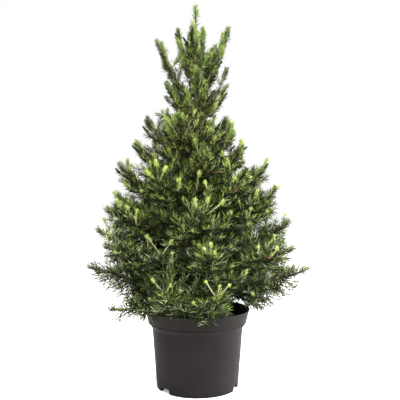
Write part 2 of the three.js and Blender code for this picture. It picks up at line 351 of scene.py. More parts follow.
pot_outline = rounded_outline(
    [
        (0, 7, 0),
        (64.6, 7, 2),
        (67.6, 5.5, 1),
        (67.6, 0, 0.9),
        (73.6, 0, 0.9),
        (74, 6, 2),
        (82.2, 107, 2.2),
        (88, 114.6, 2.4),
        (88.7, 116.2, 0.9),
        (94.6, 138.4, 0.8),
        (95.2, 140, 0.9),
        (92.9, 140, 0.8),
        (86.5, 117, 3),
        (80.4, 108.5, 3),
        (72, 9, 2),
        (0, 9, 0),
    ]
)
pot_points, pot_faces = spun(pot_outline * MM, 256)
pot_turn = np.arctan2(pot_points[:, 1], pot_points[:, 0])
pot_reach = from_axis(pot_points)
for notch in NOTCHES:
    off = np.abs((pot_turn - notch + np.pi) % (2 * np.pi) - np.pi) * FOOT_RADIUS
    lift = np.clip((NOTCH_HALF_WIDTH - off) / NOTCH_EDGE, 0, 1)
    lift = lift * lift * (3 - 2 * lift)
    ceiling = np.interp(pot_reach, [FOOT_RADIUS - FOOT_WIDTH, FOOT_RADIUS], NOTCH_TOPS)
    low = (pot_reach > FOOT_RADIUS - 1.2 * FOOT_WIDTH) & (pot_points[:, 2] < ceiling)
    pot_points[low, 2] += (lift * (ceiling - pot_points[:, 2]) * 0.98)[low]
pot = piece_from("nursery_pot", pot_points, pot_faces, POT_PLASTIC, "pot_plastic")
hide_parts("pot")

# %% [markdown]
# ## The root ball
#
# Moist compost fills the pot to a thumb's width below the rim. Its top is a grid turned about the
# axis and lifted by a few layers of smooth noise, and loose crumbs lie on it. Most of it is hidden
# under the boughs, but it shows where the skirt of needles parts.


# %% Lumpy noise
def lumps(points, size, seed):
    """Smooth noise from about -1 to 1: a sum of sine waves with random headings and phases."""
    waves = np.random.default_rng(seed)
    headings = unit(waves.normal(size=(14, 3)))
    lengths = size * waves.uniform(0.6, 1.6, 14)
    phases = waves.uniform(0, 2 * np.pi, 14)
    return np.sin(points @ (headings / lengths[:, None]).T * 2 * np.pi + phases).sum(-1) / 4


# %% Root ball
top_radii = np.linspace(86.6, 1, 44)
top_heights = np.interp(top_radii, [0, 16, 87], [124, 124, 119])
soil_outline = np.concatenate(
    [
        [[0, 9.4], [71.4, 9.4], [79.6, 108], [85.6, 117]],
        np.stack([top_radii, top_heights], -1),
        [[0, 124]],
    ]
)
soil_points, soil_faces = spun(soil_outline * MM, 132)
on_top = soil_points[:, 2] > 118 * MM
relief = 1.6 * lumps(soil_points, 0.03, 1) + 1.1 * lumps(soil_points, 0.011, 2)
relief += 0.7 * lumps(soil_points, 0.005, 3)
soil_points[on_top, 2] += (relief * MM - 1.2 * MM)[on_top]
print("root ball up to", soil_points[:, 2].max().round(4), "m")

# %% Crumbs
CRUMBS, CRUMB_REACH = 1100, 83 * MM
crumb_reach = CRUMB_REACH * np.sqrt(random.uniform(0, 1, CRUMBS))
crumb_turn = random.uniform(0, 2 * np.pi, CRUMBS)
crumb_place = np.stack(
    [
        crumb_reach * np.cos(crumb_turn),
        crumb_reach * np.sin(crumb_turn),
        np.interp(crumb_reach, [0.016, 0.087], [0.1232, 0.1184]),
    ],
    -1,
)
crumb_heading = unit(random.normal(size=(CRUMBS, 3)) * [1, 1, 0.5])
crumb_size = random.uniform(0.6, 2.6, CRUMBS) * MM
crumb_paths = crumb_place[:, None] + crumb_heading[:, None] * (
    np.linspace(-1, 1, 3)[None, :, None] * crumb_size[:, None, None]
)
crumb_radii = crumb_size[:, None] * np.array([0.55, 0.95, 0.5])
crumb_radii = crumb_radii * random.uniform(0.7, 1.2, crumb_radii.shape)
crumbs = tubes(crumb_paths, crumb_radii, 5)
soil = piece_from("root_ball", *joined([(soil_points, soil_faces), crumbs]), SOIL, "potting_soil")
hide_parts("soil")

# %% [markdown]
# ## The limbs, read from the frame
#
# The trunk's line, a slight lean with one shallow wave, is short enough to write as a formula. The
# limbs are read from the frame instead, so that no place has to be typed in twice. Each closed
# mass is the space that one limb's needles fill, and its two ends tell us where the limb goes: it
# enters the mass at the end nearest the trunk, and its tip is the far end.


# %% Trunk line
TRUNK_FOOT, TRUNK_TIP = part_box("trunk")[0][2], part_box("trunk")[1][2]


def trunk_centre(height):
    """The trunk's axis at a height: a slight lean to the left and back, with one shallow wave."""
    share = np.clip((height - TRUNK_FOOT) / (TRUNK_TIP - TRUNK_FOOT), 0, 1)
    wave = 1.2 * MM * np.sin(2 * np.pi * share)
    return np.stack([-3 * MM * share + wave, 2 * MM * share - wave, height], -1)


def trunk_radius(height):
    """An even taper to the tip, with the root flare dying away above the soil."""
    share = np.clip((height - TRUNK_FOOT) / (TRUNK_TIP - TRUNK_FOOT), 0, 1)
    return (7.6 - 6.4 * share + 4.2 * np.exp(-(height - TRUNK_FOOT) / (14 * MM))) * MM


print("trunk from", round(TRUNK_FOOT, 4), "to", round(TRUNK_TIP, 4), "m")


# %% Ends of the limbs
def corners_of(node):
    """A node's corners as an array."""
    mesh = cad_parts[node].data
    points = np.empty(len(mesh.vertices) * 3, np.float32)
    mesh.vertices.foreach_get("co", points)
    return points.reshape(-1, 3).astype(float)


mass_names = sorted(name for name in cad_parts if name.startswith("needles_"))
limb_names = [name for name in mass_names if name != "needles_leader"]
starts, tips = [], []
for name in limb_names:
    points = corners_of(name)
    near = points[from_axis(points).argmin()]
    tip = points[np.linalg.norm(points - near, axis=1).argmax()]
    ahead = unit(tip - near)
    depth = (points - near) @ ahead
    entry = points[depth < depth.min() + 4 * MM].mean(0)
    ahead = unit(tip - entry)
    start = entry - ahead * from_axis(entry) / from_axis(ahead)
    starts.append(start)
    tips.append(tip)
starts, tips = np.array(starts), np.array(tips)
bough_length = np.linalg.norm(tips - starts, axis=1)
print(len(limb_names), "limbs from", bough_length.min().round(3), "to", bough_length.max().round(3), "m")

# %% [markdown]
# ## Where the shoots end
#
# A spruce fills its outline evenly, because a shoot that is shaded by another stops growing. So
# the ends of the shoots are placed first: random places on the surface of each mass, thinned
# until no two are closer than a set spacing. Places that face open air are the skin of the crown.
# Places that face another mass across a narrow gap are inside the crown, so they are fewer and will carry
# darker needles, painted shade for the inside of the crown. A bounding volume tree of each mass answers
# how wide such a gap is.


# %% Room in front of a place
def surface_of(node):
    """A node's surface as a tree that answers ray casts."""
    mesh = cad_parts[node].data
    corners = [vertex.co for vertex in mesh.vertices]
    faces = [tuple(polygon.vertices) for polygon in mesh.polygons]
    return BVHTree.FromPolygons(corners, faces)


mass_trees = [surface_of(name) for name in mass_names]


def clearance(place, heading, reach):
    """How far one ray from a place goes before it meets any mass, up to reach."""
    start, ahead = Vector(place), Vector(heading)
    hits = [surface.ray_cast(start, ahead, reach)[3] for surface in mass_trees]
    return min([hit for hit in hits if hit is not None], default=reach)


# %% Scattered places on the masses
def scattered(node, spacing):
    """Places and outward headings on a node's surface, no two closer than spacing.

    Random places are drawn by area, at a + u (b - a) + v (c - a) in each triangle a b c. They are
    then taken in turn, each one only if all those taken before are at least spacing away."""
    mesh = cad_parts[node].data
    triangles = [[mesh.vertices[k].co for k in polygon.vertices] for polygon in mesh.polygons]
    a, b, c = np.array(triangles).swapaxes(0, 1)
    across = np.cross(b - a, c - a)
    area = np.linalg.norm(across, axis=1) / 2
    count = int(area.sum() / spacing**2 * 9)
    pick = random.choice(len(area), count, p=area / area.sum())
    u, v = random.uniform(0, 1, (2, count, 1))
    u, v = np.where(u + v > 1, 1 - u, u), np.where(u + v > 1, 1 - v, v)
    places = a[pick] + u * (b - a)[pick] + v * (c - a)[pick]
    near = np.linalg.norm(places[:, None] - places[None], axis=2) < spacing
    taken = np.zeros(count, bool)
    for k in range(count):
        taken[k] = not (near[k] & taken).any()
    return places[taken], unit(across)[pick][taken]


SPACING, AIR, INSIDE_GAP = 14.5 * MM, 90 * MM, 12 * MM
found = [scattered(name, SPACING) for name in limb_names]
place_limb = np.repeat(np.arange(len(found)), [len(places) for places, _ in found])
places = np.concatenate([places for places, _ in found])
facing = np.concatenate([normals for _, normals in found])
open_air = np.array([clearance(p + 0.1 * MM * n, n, AIR) for p, n in zip(places, facing)])
inside = open_air < INSIDE_GAP
print(len(places), "places,", int(inside.sum()), "of them inside")

# %% [markdown]
# Not every place gets a shoot. Fewer grow inside the crown, underneath a limb and in the spire. In
# two small boxes the skirt parts and nothing grows: over the right of the pot's mouth, and along
# the front left of its rim.

# %% Thinned places
KEPT_INSIDE, KEPT_UNDERNEATH, KEPT_IN_SPIRE = 0.4, 0.75, 0.72
SKIRT_TOP, SPIRE_BEGINS = 0.24, [0.52, 0.56]
MOUTH_GAP = np.array([[0.056, -0.13, 0.12], [0.088, 0.03, 0.182]])
RIM_GAP = np.array([[-0.1, -0.2, 0.12], [-0.012, -0.06, 0.153]])


def within(spots, box):
    """Which spots lie between the two opposite corners of a box."""
    return ((spots > box[0]) & (spots < box[1])).all(1)


underneath = (facing[:, 2] < -0.35) & (places[:, 2] > SKIRT_TOP)
keep_chance = np.where(inside, KEPT_INSIDE, 1) * np.where(underneath, KEPT_UNDERNEATH, 1)
keep_chance *= np.interp(places[:, 2], SPIRE_BEGINS, [1, KEPT_IN_SPIRE])
kept = random.uniform(0, 1, len(places)) < keep_chance
kept &= ~within(places, MOUTH_GAP) & ~within(places, RIM_GAP)
place_limb, places, facing, open_air, inside = [
    values[kept] for values in (place_limb, places, facing, open_air, inside)
]
print(len(places), "shoot ends, of which inside", int(inside.sum()))

# %% [markdown]
# ## Growing wood
#
# Each bough runs from the trunk through the middle of its mass. The shoot ends of a mass are
# gathered into small bundles. A branch leaves the bough for each bundle and stops short of it, and
# from there the shoots open like a fan, one to each place. A branch leaves its bough at about half
# a right angle and then bends up to the light, so the place where it leaves is found by stepping
# back along the bough from the nearest point.

# %% Heights, and places on a path
CROWN_FOOT, CROWN_TOP = 0.14, 0.694


def crown_share(height):
    """0 at the rim of the pot and 1 at the top of the plant."""
    return np.clip((height - CROWN_FOOT) / (CROWN_TOP - CROWN_FOOT), 0, 1)


def spot_on(paths, owner, share):
    """Place and heading at a share of the way along each owner's path."""
    steps = paths.shape[1] - 1
    at = np.clip(share * steps, 0, steps - 1e-6)
    low = at.astype(int)
    before, after = paths[owner, low], paths[owner, low + 1]
    return before + (at - low)[:, None] * (after - before), unit(after - before)


def leaving_share(paths, owner, targets, opening, lowest):
    """The share of each owner's path at which wood for a target leaves, opening by an angle.

    From the point nearest the target, at a distance d, it steps back by d / tan(opening)."""
    along = paths[owner]
    gaps = np.linalg.norm(along - targets[:, None], axis=2)
    nearest = gaps.argmin(1) / (paths.shape[1] - 1)
    return np.clip(nearest - gaps.min(1) / np.tan(opening) / length_of(along), lowest, 1)


def shared_out(counts):
    """Owner of each child and its order among its brothers, for a number of children each."""
    owner = np.repeat(np.arange(len(counts)), counts)
    order = np.arange(len(owner)) - np.repeat(np.cumsum(counts) - counts, counts)
    return owner, order


# %% [markdown]
# Wood grows in two ways here. Where it has a place to reach, as a shoot has, it follows a Bezier
# curve, because that passes through both ends exactly. Where it has only a parent and a length, as
# a side twig has, it is laid down step by step, and its heading drifts a little on the way.


# %% Curves to a target
def bezier(base, leave, arrive, target, rows):
    """Cubic Bezier curves, one for each row of four control points, as paths of so many rows.

    At a share s they stand at (1-s)^3 base + 3 (1-s)^2 s leave + 3 (1-s) s^2 arrive + s^3 target."""
    share = np.linspace(0, 1, rows)[None, :, None]
    controls = [spot[:, None] for spot in (base, leave, arrive, target)]
    weights = [(1 - share) ** 3, 3 * (1 - share) ** 2 * share, 3 * (1 - share) * share**2, share**3]
    return sum(weight * control for weight, control in zip(weights, controls))


def reaching(base, heading, target, aim, rows, follow, bend):
    """Bezier curves to targets, which leave partly along the parent's heading and end bent to aim."""
    straight = target - base
    third = np.linalg.norm(straight, axis=1, keepdims=True) / 3
    leave = base + unit(unit(straight) + follow * heading) * third
    arrive = target - unit(unit(straight) + bend * aim) * third
    return bezier(base, leave, arrive, target, rows)


# %% Free growth from a parent
GOLDEN = np.radians(137.5)


def opened(heading, turn, opening):
    """Headings tilted by opening away from the parent's, turned round it from sideways."""
    side = unit(np.cross(heading, UP) + 1e-6)
    top = np.cross(side, heading)
    away = np.cos(turn)[:, None] * side + np.sin(turn)[:, None] * top
    return np.cos(opening)[:, None] * heading + np.sin(opening)[:, None] * away


def grown(base, heading, length, lift, steps, wander=0.06):
    """Paths that leave base along heading and bend towards +Z by lift at their ends.

    The heading at a share s is unit(heading + lift s UP + a slow random drift), and the path is
    the running sum of those headings. Length and lift are one for all or one for each."""
    length, lift = [np.broadcast_to(value, len(base)) for value in (length, lift)]
    share = np.linspace(0, 1, steps)[None, :, None]
    drift = random.normal(size=(len(base), 1, 3)) * wander * share
    lean = unit(heading[:, None] + lift[:, None, None] * share * UP + drift)
    step = (lean[:, 1:] + lean[:, :-1]) / 2 * (length / (steps - 1))[:, None, None]
    return np.concatenate([base[:, None], base[:, None] + np.cumsum(step, axis=1)], axis=1)


# %% [markdown]
# ## Boughs
#
# A bough leaves the trunk a little flatter than the straight way to its tip and then turns up,
# because the tip seeks the light while the wood behind it sags under its own weight. A cubic Bezier
# curve has just the two handles that this needs: one sets how the bough leaves, the other how
# steeply it arrives.

# %% Boughs
BOUGH_ROWS = 24
flat, rise = (tips - starts) * [1, 1, 0], (tips - starts) * [0, 0, 1]
sag = 0.02 * bough_length[:, None] * UP
handle_out = starts + 0.42 * flat + 0.34 * rise
handle_in = tips - 0.3 * flat - 0.34 * rise - sag
bough_tips = tips - unit(tips - handle_in) * 4 * MM
boughs = bezier(starts, handle_out, handle_in, bough_tips, BOUGH_ROWS)
print(len(boughs), "boughs")

# %% [markdown]
# ## Branches
#
# Shoots that end near each other come from one branch. So the ends in a mass are gathered into
# bundles of about nine, and each bundle gets a branch, which leaves the bough some way back and
# stops short of the bundle, leaving room for its shoots. It opens less the higher it grows, and
# that makes the spire slim.


# %% Bundles of shoot ends
def bundled(spots, size):
    """Bundle number of each spot, and the middle of each bundle.

    The first middles are spots far from each other. Three times, every spot joins the middle
    nearest to it, and each middle moves to the average of its spots."""
    seeds = [0]
    while len(seeds) < max(1, len(spots) // size):
        gaps = np.linalg.norm(spots[:, None] - spots[seeds][None], axis=2).min(1)
        seeds.append(int(gaps.argmax()))
    centres = spots[seeds]
    for _ in range(3):
        nearest = np.linalg.norm(spots[:, None] - centres[None], axis=2).argmin(1)
        members = [spots[nearest == k] for k in range(len(centres))]
        centres = np.array([some.mean(0) if len(some) else old for some, old in zip(members, centres)])
    return nearest, centres


SHOOTS_IN_BUNDLE, ROOM_FOR_SHOOTS, FORK_CLEARANCE = 9, 9 * MM, 16 * MM
bundle_of = np.zeros(len(places), int)
centres, branch_limb = [], []
for limb in range(len(boughs)):
    mine = np.flatnonzero(place_limb == limb)
    nearest, middle = bundled(places[mine], SHOOTS_IN_BUNDLE)
    bundle_of[mine] = nearest + len(centres)
    centres += list(middle)
    branch_limb += [limb] * len(middle)
centres, branch_limb = np.array(centres), np.array(branch_limb)
print(len(centres), "bundles")

# %% Branches
branch_rise = crown_share(centres[:, 2])
opening = np.radians(52 - 16 * branch_rise)
lowest = np.clip(FORK_CLEARANCE / bough_length, 0.05, 0.3)[branch_limb]
branch_share = leaving_share(boughs, branch_limb, centres, opening, lowest)
branch_base, parent_heading = spot_on(boughs, branch_limb, np.minimum(branch_share, 0.94))
straight = centres - branch_base
distance = np.linalg.norm(straight, axis=1)
branch_end = branch_base + straight * np.clip(1 - ROOM_FOR_SHOOTS / distance, 0.4, 0.85)[:, None]
branches = reaching(branch_base, parent_heading, branch_end, UP[None], 10, 0.5, 0.2)
print(len(branches), "branches, mean", length_of(branches).mean().round(4), "m")

# %% [markdown]
# ## Shoots
#
# A shoot ends at each place. First we choose which way it should point there: outwards low down,
# nearly straight up in the spire, and a little astray everywhere. Then we move its end along the
# way the place faces: out into a gap between two masses to close it, and a little inwards where
# the air is open or the gap is very narrow.

# %% Where each shoot points and ends
LONGEST_PUSH, DRAWN_IN, DRAWN_IN_INSIDE = 34 * MM, 3.5 * MM, 4 * MM
OVER_RIM, RIM_DROP, SIDE_DROP = 7 * MM, 5 * MM, 9 * MM
shoot_rise = crown_share(places[:, 2])
outward = unit(places * [1, 1, 0])
stray = random.normal(size=(len(places), 3)) * 0.22
upright = np.interp(shoot_rise, [0.1, 0.45], [0, 1])
aim = outward * (0.55 - 0.35 * upright)[:, None] + UP * (0.5 + 0.7 * upright)[:, None]
aim = unit(aim + facing * np.where(inside, 0.5, 0.6 - 0.38 * upright)[:, None] + stray)
# Low at the front, ends that face forward reach over the rim. Low at both sides, ends that face
# down hang lower.
low_front = (places[:, 2] < 0.19) & (places[:, 1] < -0.05)
over_rim = low_front & (facing[:, 1] < -0.4)
at_sides = np.abs(places[:, 0] - 0.02) > 0.09
hangs = (facing[:, 2] < -0.3) & (places[:, 2] < 0.21) & at_sides
into_gap = np.minimum(open_air * 0.55, LONGEST_PUSH)
push = np.where(open_air < AIR, into_gap, -DRAWN_IN)
push = np.where(inside, -DRAWN_IN_INSIDE, push) + random.normal(0, 1.5 * MM, len(places))
push = np.where(over_rim, OVER_RIM, push)
drop = over_rim * RIM_DROP + hangs * SIDE_DROP
shoot_ends = places + facing * push[:, None] - UP * drop[:, None]
print(int(inside.sum()), "ends inside,", int(over_rim.sum()), "over the rim")

# %% [markdown]
# Each shoot then looks for the best spot to leave from, on its own branch or bough. A spot scores
# well if the straight way from it runs along the shoot's aim and if it is about as far away as a
# shoot is long. Spots that are too near the end, or right beside the trunk, are ruled out.

# %% Shoots, one for each place
SHORTEST_SHOOT, BESIDE_TRUNK, RULED_OUT = 9 * MM, 13 * MM, 10
stops = np.concatenate([branches[bundle_of], boughs[place_limb]], axis=1)
reach = shoot_ends[:, None] - stops
distance = np.linalg.norm(reach, axis=2)
best_length = (34 + 8 * upright)[:, None] * MM
score = (reach * aim[:, None]).sum(-1) / distance - 0.45 * np.abs(distance / best_length - 1)
score -= RULED_OUT * ((distance < SHORTEST_SHOOT) | (from_axis(stops) < BESIDE_TRUNK))
choice = score.argmax(1)
branch_rows = branches.shape[1]
on_branch = choice < branch_rows
step = np.where(on_branch, choice / (branch_rows - 1), (choice - branch_rows) / (BOUGH_ROWS - 1))
step = np.clip(step + random.uniform(-0.04, 0.04, len(step)), 0, 1)
leaving = zip(spot_on(branches, bundle_of, step), spot_on(boughs, place_limb, step))
shoot_base, parent_heading = [np.where(on_branch[:, None], a, b) for a, b in leaving]
shoot_bend = (0.5 + 0.9 * upright)[:, None]
shoots = reaching(shoot_base, parent_heading, shoot_ends, aim, 8, 0.25, shoot_bend)
print(len(shoots), "shoots, mean", length_of(shoots).mean().round(4), int(on_branch.sum()), "on branches")

# %% Wisps and limb ends
# A wisp stands out of the crown and will carry few needles. The gap to the tip of its own limb
# tells which shoots end beside a tip.
wisp_reach = np.interp(places[:, 2], [0.15, 0.24, 0.34], [0.12, 0.155, 0.17])
is_wisp = from_axis(places) > wisp_reach
end_gap = np.linalg.norm(shoot_ends - boughs[place_limb, -1], axis=1)
print(int(is_wisp.sum()), "wisps")

# %% [markdown]
# ## Side twigs
#
# Short twigs leave the boughs, branches and shoots along their sides, and their darker needles
# close the crown. They could be drawn one by one, but a rule is enough: one every so many
# millimetres, each turned a golden angle further round its parent, shorter towards the end, and
# fewer in the spire.

# %% Side twigs
TRUNK_CLEAR, OUTER_REACH = 14 * MM, 0.15
twig_rules = [(boughs, 9 * MM, 17 * MM), (branches, 9 * MM, 15 * MM), (shoots, 12 * MM, 11.5 * MM)]
twig_sets = []
for parents, apart, length in twig_rules:
    counts = (length_of(parents) / apart).astype(int)
    owner, order = shared_out(counts)
    twig_share = (order + random.uniform(0.2, 1, len(order))) / (counts[owner] + 0.6)
    base, parent_heading = spot_on(parents, owner, twig_share)
    turn = order * GOLDEN + random.normal(0, 0.3, len(order)) + 2.4 * owner
    heading = opened(parent_heading, turn, np.radians(random.normal(50, 8, len(order))))
    size = length * random.uniform(0.7, 1.3, len(order)) * (1.1 - 0.4 * twig_share)
    twig_rise = crown_share(base[:, 2])
    stays = from_axis(base) > TRUNK_CLEAR
    stays &= random.uniform(0, 1, len(order)) > np.interp(twig_rise, [0.15, 0.65], [0, 0.6])
    stays &= (from_axis(base) < OUTER_REACH) | (random.uniform(0, 1, len(order)) < 0.55)
    twig_sets.append(grown(base, heading, size, 0.25 + 0.7 * twig_rise, 5)[stays])
twigs = np.concatenate(twig_sets)
print(len(twigs), "twigs", [len(some) for some in twig_sets])

# %% [markdown]
# ## This year's growth
#
# The tips have just flushed. High on the plant the new growth is long, upright and clothed in
# bright needles, while low down it is only a pale tuft the size of a pea at the end of a bare
# stem. Only shoots on the skin of the crown that do not look down have flushed.


# %% New tips
def spread_out(spots, candidates, gap, marked=False):
    """Marks candidates in random order, each only if no marked spot lies within its own gap.

    The gap is one for all or one for each spot, and some spots can be marked beforehand."""
    gap = np.broadcast_to(gap, len(spots))
    marked = np.zeros(len(spots), bool) | marked
    for one in random.permutation(candidates):
        gaps = np.linalg.norm(spots[marked] - spots[one], axis=1)
        marked[one] = not (gaps < gap[one]).any()
    return marked


shoot_heading = unit(shoots[:, -1] - shoots[:, -2])
looks_out = (shoot_heading * outward).sum(-1) + 0.9 * shoot_heading[:, 2]
# New tips stand far apart low down, where fans and single stems bear most of the new growth, and
# closer together higher up.
gap_heights = [0, 0.28, 0.36, 0.41, 0.5, 0.58, 0.65, 0.73, 0.8]
gap = np.interp(shoot_rise, gap_heights, [80, 76, 64, 36, 28, 32, 36, 32, 25]) * MM
can_flush = np.flatnonzero(~inside & (looks_out > 0.3) & (facing[:, 2] > -0.45))
flushes = spread_out(shoot_ends, can_flush, gap)
new_rise = shoot_rise[flushes]
new_length = np.interp(new_rise, [0, 0.3, 0.42, 0.6, 0.85], [6, 9, 19, 21, 21]) * MM
new_length = new_length * random.uniform(0.7, 1.35, len(new_rise))
# Each new tip begins inside the end of its shoot, so that its needles cover the join.
new_base = shoots[flushes, -1] - shoot_heading[flushes] * (new_length * 0.5)[:, None]
new_tips = grown(new_base, shoot_heading[flushes], new_length, 0.3 + 0.6 * new_rise, 5, 0.03)
print(len(new_tips), "new tips")

# %% [markdown]
# The end of every bough carries a full brush of needles, because it is the strongest shoot of its
# limb. These ends draw the outline of the plant.

# %% A full brush at the end of each bough
bough_rise = crown_share(boughs[:, -1, 2])
bough_heading = unit(boughs[:, -1] - boughs[:, -3])
end_length = np.interp(bough_rise, [0.1, 0.5], [13, 22]) * MM
end_base = boughs[:, -1] - bough_heading * (end_length * 0.75)[:, None]
bough_ends = grown(end_base, bough_heading, end_length, 0.2 + 0.5 * bough_rise, 6, 0.02)
print(len(bough_ends), "bough ends")

# %% [markdown]
# Lower down, the new growth is a fan of one to three pale bare stems on a short red-brown foot,
# each with a tuft at its end. A fan stands on the end of a branch whose bundle of shoots faces
# outwards, and its stems are swayed to either side, so that they open like the ribs of a fan. The
# widest low branches bear none, so that no fan stands out of the skirt.

# %% Branches that bear fans
SKIRT_REACH, SKIRT_HEIGHT, FANS_END = 165 * MM, 0.3, 0.66
# A bundle with three ends or fewer on the skin counts as facing down, so it bears no fan.
bundle_facing = np.tile([0.0, 0.0, -1.0], (len(branches), 1))
for bundle in range(len(branches)):
    outer = (bundle_of == bundle) & ~inside
    if outer.sum() > 3:
        bundle_facing[bundle] = facing[outer].mean(0)
branch_out = unit(branches[:, -1] * [1, 1, 0])
is_outer = (bundle_facing * branch_out).sum(-1) + 0.5 * bundle_facing[:, 2] > 0.15
is_outer &= ~((from_axis(branches[:, -1]) > SKIRT_REACH) & (branches[:, -1, 2] < SKIRT_HEIGHT))
can_fan = np.flatnonzero(is_outer & (branch_rise < FANS_END))
fan_gap = np.interp(branch_rise, [0.2, 0.3, 0.4], [40, 44, 40]) * MM
bears_fan = spread_out(branches[:, -1], can_fan, fan_gap)
fan_parent = np.flatnonzero(bears_fan)
print(len(fan_parent), "fans on", len(can_fan), "branches that could bear one")


# %% Fans of pale stems, each with a tuft at its end
def tuft_paths(stalks, length):
    """Paths that start 2 mm back from the end of each stalk and carry on along it, rising a little."""
    ahead = unit(stalks[:, -1] - stalks[:, -2])
    return grown(stalks[:, -1] - ahead * 2 * MM, ahead, length, 0.3, 5, 0.03)


fan_size = random.choice([1, 2, 3], len(fan_parent), p=[0.4, 0.3, 0.3])
owner, order = shared_out(fan_size)
foot_aim = unit(0.5 * branch_out + 0.35 * UP + 0.7 * bundle_facing)[fan_parent]
fan_feet = grown(branches[fan_parent, -1], foot_aim, 13 * MM, 0.3, 5)
fan_base, _ = spot_on(fan_feet, owner, random.uniform(0.55, 1, len(owner)))
fan_out = branch_out[fan_parent[owner]]
fan_across = np.cross(fan_out, UP)
sway = 0.95 * (order - (fan_size[owner] - 1) / 2) + random.normal(0, 0.25, len(order))
fan_aim = 0.42 * fan_out + 0.85 * UP + sway[:, None] * fan_across
fan_aim = unit(fan_aim + 0.12 * random.normal(size=fan_out.shape))
fan_length = random.uniform(15, 37, len(owner)) * MM
fan_length *= np.interp(branch_rise[fan_parent[owner]], [0.3, 0.55], [1, 0.6])
fans = grown(fan_base, fan_aim, fan_length, 0.15, 6, 0.05)
fan_rise = crown_share(fans[:, -1, 2])
tuft_length = np.interp(fan_rise, [0, 0.3, 0.5, 0.62], [5, 6.5, 11, 14]) * MM
tufts = tuft_paths(fans, tuft_length * random.uniform(0.7, 1.3, len(owner)))
print(len(fans), "stems in the fans")

# %% [markdown]
# Between the fans, single pale stems stand on low shoots that have not flushed. Like the new tips,
# they keep a set distance from one another, because new growth is spread evenly over the plant.

# %% Single pale stems on low shoots
STEMS_END, STEM_GAP = 0.5, 37 * MM
can_bear = ~inside & ~flushes & (looks_out > 0.15) & (facing[:, 2] > -0.3)
can_bear &= (shoot_rise < STEMS_END) & ~is_wisp
bears_stem = spread_out(shoot_ends, np.flatnonzero(can_bear), STEM_GAP, flushes) & ~flushes
stem_aim = 0.15 * outward + 0.85 * UP + 0.4 * facing
stem_aim = unit(stem_aim + 0.3 * random.normal(size=facing.shape))[bears_stem]
stem_count = int(bears_stem.sum())
stem_length = random.uniform(9, 24, stem_count) * MM
stems = grown(shoots[bears_stem, -2], stem_aim, stem_length, 0.2, 6, 0.05)
stem_tufts = tuft_paths(stems, random.uniform(3.5, 7, stem_count) * MM)
stem_rise = crown_share(stems[:, -1, 2])
print(stem_count, "single stems on", int(can_bear.sum()), "shoots that could bear one")

# %% All new tips together
at_limb_end = np.zeros(len(new_tips) + len(tufts) + len(stem_tufts), bool)
at_limb_end[: len(new_tips)] = end_gap[flushes] < 30 * MM
new_tips = np.concatenate([new_tips, tufts, stem_tufts])
new_rise = np.concatenate([new_rise, fan_rise, np.minimum(stem_rise, 0.26)])
print(len(new_tips), "tips and tufts,", int(at_limb_end.sum()), "of them at the end of a limb")

# %% [markdown]
# On the upper part of the plant some shoots stand in shade and show as small dark rods against the sky.
# These rods are painted shade: short, narrow shoots set with near-black needles that lie close along
# them.

# %% Dark rods of painted shade
SHADE_RODS_BEGIN, SHADE_ROD_GAP = 0.42, 34 * MM
can_bear_shade_rod = np.flatnonzero(~inside & ~flushes & (shoot_rise > SHADE_RODS_BEGIN) & (facing[:, 2] > -0.3))
shade_rod_ends = spread_out(shoot_ends, can_bear_shade_rod, SHADE_ROD_GAP)
shade_rod_count = int(shade_rod_ends.sum())
shade_rod_aim = unit(outward + 0.8 * UP + 0.2 * random.normal(size=outward.shape))[shade_rod_ends]
shade_rod_length = random.uniform(12, 17, shade_rod_count) * MM
shade_rods = grown(shoots[shade_rod_ends, -1] - shade_rod_aim * 4 * MM, shade_rod_aim, shade_rod_length, 0.2, 5, 0.03)
print(shade_rod_count, "dark rods of painted shade")

# %% [markdown]
# ## The leader
#
# The trunk's own tip carries the needles of the highest mass. It is one upright shoot, ringed
# with short side shoots that stand almost straight up beside it.

# %% Leader and its side shoots
LEADER_FOOT, LEADER_SIDES = 0.53, 14
leader = trunk_centre(np.linspace(LEADER_FOOT, CROWN_TOP - 4 * MM, 24))[None]
leader_share = np.linspace(0.1, 0.66, LEADER_SIDES)
leader_base, leader_ahead = spot_on(leader, np.zeros(LEADER_SIDES, int), leader_share)
leader_turn = np.arange(LEADER_SIDES) * GOLDEN
leader_heading = opened(leader_ahead, leader_turn, np.full(LEADER_SIDES, 0.55))
leader_side_length = random.uniform(14, 34, LEADER_SIDES) * MM
leader_shoots = grown(leader_base, leader_heading, leader_side_length, 1.4, 7)
print(len(leader_shoots), "shoots beside the leader")

# %% [markdown]
# ## Needles
#
# A spruce needle is a stiff four-sided spindle about a centimetre long. The cheapest closed shape
# with a needle's outline has four corners and four faces: the base, the tip, and two corners part
# of the way along that give the width and, raised a little, the thickness. Needles stand all round
# a shoot, one golden-angle turn after another. They open wide on old wood and lean forward round a
# new tip, which gives it the round end of a bottle brush.

# %% The shape of a needle
NEEDLE_FACES = np.array([[0, 2, 1], [3, 1, 2], [0, 1, 3], [0, 3, 2]])
WIDEST = 0.42


def needle_corners(base, heading, out, size, width):
    """Four corners for each needle, which leaves base along out: its base, two sides and its tip.

    The sides stand at the share WIDEST of its length, half its width to the left and right, and
    as much again above the line from base to tip."""
    flat = unit(np.cross(out, heading))
    thick = np.cross(out, flat)
    half = width[:, None] / 2
    middle = base + out * (size * WIDEST)[:, None] + thick * half
    return np.stack([base, middle + flat * half, middle - flat * half, base + out * size[:, None]], 1)


# %% [markdown]
# Where the skirt hangs over the rim, some needles would pass through the pot's wall. They are easy
# to find and leave out, because the wall is a turned shape: at each height it has one radius.

# %% Needles that would pierce the pot
POT_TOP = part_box("pot")[1][2]
WALL_HEIGHTS = np.array([107, 117, 140]) * MM
WALL_RADII, HALF_WALL = np.array([81.3, 87.6, 94]) * MM, 1.7 * MM


